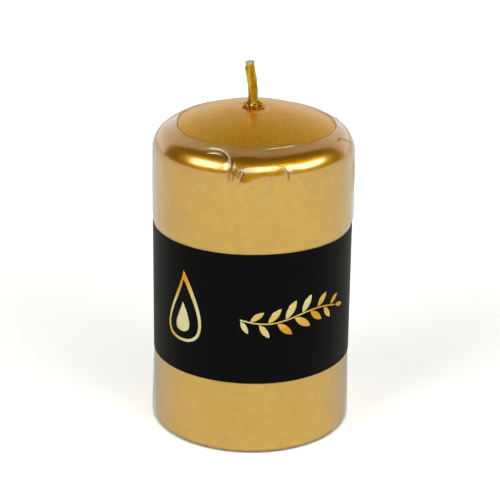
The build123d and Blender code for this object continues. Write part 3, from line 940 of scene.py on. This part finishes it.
def foil_strip(left, right, azimuth, offset, rib=0.0, ring=False):
    """Foil between two lines drawn flat and laid on the band, its edges pressed in.

    rib is the depth of a groove along the middle; a ring's last row joins its first.
    """
    share = np.linspace(0, 1, FOIL_COLS)
    flat = left[:, None] * (1 - share[:, None]) + right[:, None] * share[:, None]
    lift = FOIL_T * (1 - (2 * share - 1) ** 6) - rib * np.exp(-(((share - 0.5) / 0.07) ** 2))
    lift = np.broadcast_to(lift, flat.shape[:2])
    around = azimuth + np.degrees(np.arcsin(flat[..., 0] / BAND_OUT_R))
    points = round_points(BAND_OUT_R + lift, flat[..., 1], around)
    rows = len(left)
    if ring:
        points = np.concatenate([points, points[:1]])
        rows += 1
    faces = grid_faces(rows, FOIL_COLS, offset, closed=False)
    first = offset + np.arange(rows - 1) * FOIL_COLS
    back = [first, first + FOIL_COLS, first + 2 * FOIL_COLS - 1, first + FOIL_COLS - 1]
    faces += np.stack(back, -1).tolist()
    if not ring:
        faces += end_faces(rows, FOIL_COLS, offset)
    return points.reshape(-1, 3), faces


def foil_piece(name, strips):
    """One piece out of several foil strips, given as arguments of foil_strip."""
    points, faces = np.zeros((0, 3)), []
    for left, right, azimuth, options in strips:
        points, faces = joined(points, faces, foil_strip(left, right, azimuth, len(points), **options))
    piece = add_mesh(name, points, faces)
    shape = bmesh.new()
    shape.from_mesh(piece.data)
    bmesh.ops.remove_doubles(shape, verts=shape.verts, dist=0.002 * MM)
    bmesh.ops.recalc_face_normals(shape, faces=shape.faces)
    shape.to_mesh(piece.data)
    shape.free()
    return piece


def bezier(start, handle_a, handle_b, end, count):
    u = np.linspace(0, 1, count)[:, None]
    stops = [np.array(p, float) for p in (start, handle_a, handle_b, end)]
    weights = ((1 - u) ** 3, 3 * u * (1 - u) ** 2, 3 * u * u * (1 - u), u**3)
    return sum(w * p for w, p in zip(weights, stops))


def flame_sides(width, height, foot_z):
    """Right side of a flame from foot to tip, and its left side from tip to foot."""
    def place(across, up):
        return across * width, foot_z + up * height

    foot, tip = place(0, 0), place(FLAME_LEAN, 1)
    right = bezier(foot, *[place(*handle) for handle in FLAME_RIGHT], tip, 48)
    left = bezier(tip, *[place(*handle) for handle in FLAME_LEFT], foot, 48)
    return right, left


def make_flame_print():
    """Outlined flame with a small solid flame inside its foot."""
    foot_z = FLAME_Z - FLAME_H / 2
    outside = np.concatenate([line[:-1] for line in flame_sides(FLAME_W, FLAME_H, foot_z)])
    hollow_w, hollow_h = FLAME_W - 2 * FLAME_LINE, FLAME_H - FLAME_TIP_LINE - FLAME_LINE
    inside = np.concatenate([line[:-1] for line in flame_sides(hollow_w, hollow_h, foot_z + FLAME_LINE)])
    right, left = flame_sides(FLAME_HEART * FLAME_W, FLAME_HEART * FLAME_H, foot_z + FLAME_HEART_LIFT)
    heart = (left[::-1][1:-1], right[1:-1], FLAME_AZIMUTH, {})
    return foil_piece("flame_print", [(outside, inside, FLAME_AZIMUTH, {"ring": True}), heart])


def leaf_sides(length, lean, height):
    """Upper and lower side of a leaf at the stem, leaning from the horizontal."""
    half = length * LEAF_WIDTH / LEAF_LENGTH / 2
    x = np.linspace(0.01, 0.99, 28) * length
    bow = (length**2 / 4 + half**2) / (2 * half)
    y = np.sqrt(bow**2 - (x - length / 2) ** 2) - (bow - half)
    a = radians(lean)
    sides = []
    for side in (y, -y):
        u, v = LEAF_GAP + x, side
        sides.append(np.stack([u * cos(a) - v * sin(a), height + u * sin(a) + v * cos(a)], -1))
    return sides


def stem_height(along):
    return SPRIG_Z + SPRIG_RISE * np.sin(pi * along)


def make_sprig_print():
    """Leafy sprig: a waved stem with leaves to either side in turn and one at the end."""
    along = np.linspace(-1, 1, 90)
    reach = BAND_OUT_R * np.sin(along * STEM_LENGTH / 2 / BAND_OUT_R)
    top, bottom = [np.stack([reach, stem_height(along) + half * SPRIG_STEM], -1) for half in (0.5, -0.5)]
    strips = [(top, bottom, SPRIG_AZIMUTH, {})]
    leaves = 2 * SPRIG_PAIRS
    for i in range(leaves + 1):
        along = 2 * i / leaves - 1
        slope = degrees(atan2(SPRIG_RISE * pi * cos(pi * along), STEM_LENGTH / 2))
        lean = 0 if i == leaves else LEAF_LEAN_DEG * (1 if i % 2 else -1)
        size = LEAF_LENGTH * (1 - LEAF_TAPER * abs(along + LEAF_FULLEST))
        azimuth = SPRIG_AZIMUTH + degrees(along * STEM_LENGTH / 2 / BAND_OUT_R)
        upper, lower = leaf_sides(size, slope + lean, float(stem_height(along)))
        strips.append((upper, lower, azimuth, {"rib": LEAF_RIB}))
    return foil_piece("sprig_print", strips)


# ---- camera, lights and floor ----
CAMERA_BACK, CAMERA_HEIGHT = 506.5, 251.2
CAMERA_DOWN_DEG, CAMERA_ROLL_DEG = 21.26, 0.70
CAMERA_LENS, CAMERA_SENSOR = 127.9, 36.0
CAMERA_SHIFT_X = -0.0043
TABLE_HALF = 4000.0
TABLE_WASH = 0.45

# Softboxes and fills are placed by azimuth, 0 for the front and 90 for +X, and elevation in
# degrees. Their sizes and distances are in metres and their powers in watts.
SOFTBOXES = {                          # azimuth, elevation, width, height, power
    "softbox_left": (-56, 28, 4.7, 2.5, 170.0),
    "softbox_right": (71, 22, 4.2, 1.8, 120.0),
    "softbox_front": (25, 28, 6.4, 1.8, 155.0),
}
SOFTBOX_DISTANCE = 4.5
SOFTBOX_COLOUR = (0.94, 1.0, 0.90)
SOFTBOX_FADE = 0.3                     # share of each side over which a softbox fades
FILLS = {                              # azimuth, elevation, power
    "fill_left": (-44, 36, 36.0),
    "fill_right": (44, 36, 35.0),
}
FILL_DISTANCE, FILL_SIZE = 3.8, 1.7

# The sweep's front edge lies at SWEEP_BACK behind the candle near the floor and curls
# forward overhead; both are parts of a unit direction, as is the softness of the edge.
SWEEP_BACK, SWEEP_CURL, SWEEP_EDGE = 0.48, 0.70, 0.07
SWEEP_LIGHT, SWEEP_TOP_LIGHT = 0.90, 0.300
SWEEP_COLOUR = (0.94, 1.0, 1.0, 1)
SWEEP_ON_MATT = 0.40                   # share of the sweep's light that reaches matt surfaces
ROOM_COLOUR = (0.100, 0.062, 0.014, 1)


def make_camera():
    data = bpy.data.cameras.new("camera")
    data.lens, data.sensor_width = CAMERA_LENS, CAMERA_SENSOR
    data.shift_x = CAMERA_SHIFT_X
    data.clip_start, data.clip_end = 0.01, 20
    camera = bpy.data.objects.new("camera", data)
    down = Matrix.Rotation(radians(90 - CAMERA_DOWN_DEG), 4, "X")
    roll = Matrix.Rotation(radians(CAMERA_ROLL_DEG), 4, "Z")
    place = Matrix.Translation(Vector((0, -CAMERA_BACK, CAMERA_HEIGHT)) * MM)
    camera.matrix_world = place @ down @ roll
    bpy.context.scene.collection.objects.link(camera)
    bpy.context.scene.camera = camera


def area_light(name, shape, azimuth, elevation, distance, power, target_z=0.0):
    """Area light at a distance from a point on the candle's axis, which it faces."""
    a, e = radians(azimuth), radians(elevation)
    away = Vector((sin(a) * cos(e), -cos(a) * cos(e), sin(e)))
    data = bpy.data.lights.new(name, "AREA")
    data.shape = shape
    data.energy = power
    light = bpy.data.objects.new(name, data)
    light.location = Vector((0, 0, target_z)) * MM + away * distance
    light.rotation_euler = away.to_track_quat("Z", "Y").to_euler()
    bpy.context.scene.collection.objects.link(light)
    return light


def make_softbox(name, azimuth, elevation, width, height, power):
    """Large light that faces the candle's shoulder and fades towards its edges."""
    light = area_light(name, "RECTANGLE", azimuth, elevation, SOFTBOX_DISTANCE, power, SHOULDER_Z)
    data = light.data
    data.size, data.size_y = width, height
    data.color = SOFTBOX_COLOUR
    data.use_nodes = True
    n = Nodes(data.node_tree)
    across = n.add("SeparateXYZ", n.add("NewGeometry").outputs["Parametric"])
    fades = [
        n.spread(n.math("PINGPONG", across.outputs[axis], 0.5), 0.0, 1.0, 0.0, SOFTBOX_FADE, "SMOOTHSTEP")
        for axis in ("X", "Y")
    ]
    n.add("OutputLight", n.shader("Emission", strength=n.math("MULTIPLY", *fades)))


def make_fill(name, azimuth, elevation, power):
    """Soft light for the matt surfaces alone, kept out of the glossy ones."""
    light = area_light(name, "DISK", azimuth, elevation, FILL_DISTANCE, power)
    light.data.size = FILL_SIZE
    light.visible_glossy = False


def make_world():
    """White sweep behind and overhead in a dim warm room; light grey where the camera sees it."""
    world = bpy.data.worlds.new("studio")
    world.use_nodes = True
    bpy.context.scene.world = world
    n = Nodes(world.node_tree)
    axes = n.add("SeparateXYZ", n.add("TexCoord").outputs["Generated"])
    height = n.math("MAXIMUM", axes.outputs["Z"], 0.0)
    curl = n.math("MULTIPLY_ADD", n.math("POWER", height, 6.0), SWEEP_CURL, -SWEEP_BACK)
    past_edge = n.math("ADD", axes.outputs["Y"], curl)
    inside = n.spread(past_edge, 0.0, 1.0, -SWEEP_EDGE, SWEEP_EDGE, "SMOOTHSTEP")
    fall = n.math("MULTIPLY_ADD", height, SWEEP_TOP_LIGHT - SWEEP_LIGHT, SWEEP_LIGHT)
    rays = n.add("LightPath").outputs
    share = n.math("MULTIPLY_ADD", rays["Is Diffuse Ray"], SWEEP_ON_MATT - 1, 1.0)
    strength = n.math("MULTIPLY", n.math("MULTIPLY", inside, fall), share)
    sweep = n.shader("Background", color=SWEEP_COLOUR, strength=strength)
    lit = n.shader("AddShader", sweep, n.shader("Background", color=ROOM_COLOUR))
    seen = n.shader("MixShader", rays["Is Camera Ray"], lit, n.shader("Background"))
    n.add("OutputWorld", seen)


def make_stage():
    make_camera()
    make_world()
    for name, values in SOFTBOXES.items():
        make_softbox(name, *values)
    for name, values in FILLS.items():
        make_fill(name, *values)
    corners = [(x * TABLE_HALF, y * TABLE_HALF, 0) for x, y in ((-1, -1), (1, -1), (1, 1), (-1, 1))]
    table = add_mesh("table", corners, [[0, 1, 2, 3]])
    table.data.materials.append(table_top())


# ---- putting it together ----
def put(piece, material, node):
    """Give a new piece its material and let it stand for a CAD node."""
    piece.data.materials.append(material)
    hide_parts(node)
    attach(piece, "root")


def dress(node, material):
    """Give a CAD node its material."""
    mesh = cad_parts[node].data
    mesh.materials.clear()
    mesh.materials.append(material)


def set_view():
    view = bpy.context.scene.view_settings
    view.view_transform = "Standard"
    view.look = "None"


make_stage()
set_view()
put(make_lacquer(), gold_lacquer(), "lacquer_coat")
film = make_film()
put(film, clear_film(), "film_wrap")
film.data.materials.append(film_crease())
film.data.materials.append(film_tuck_shade())
put(make_band(), black_paper(), "belly_band")
foil = gold_foil()
put(make_flame_print(), foil, "foil_flame")
put(make_sprig_print(), foil, "foil_sprig")
put(make_wick(), wick_cotton(), "wick")
put(make_wick_coat(), wick_lacquer(), "wick_lacquer")
put(make_crumbs(), grain_lacquer(), "wax_crumbs")
dress("wax_core", pressed_wax())
dress("overdip_shell", dipped_wax())
dress("wick_sustainer", tinplate())
dress("band_glue", dried_glue())
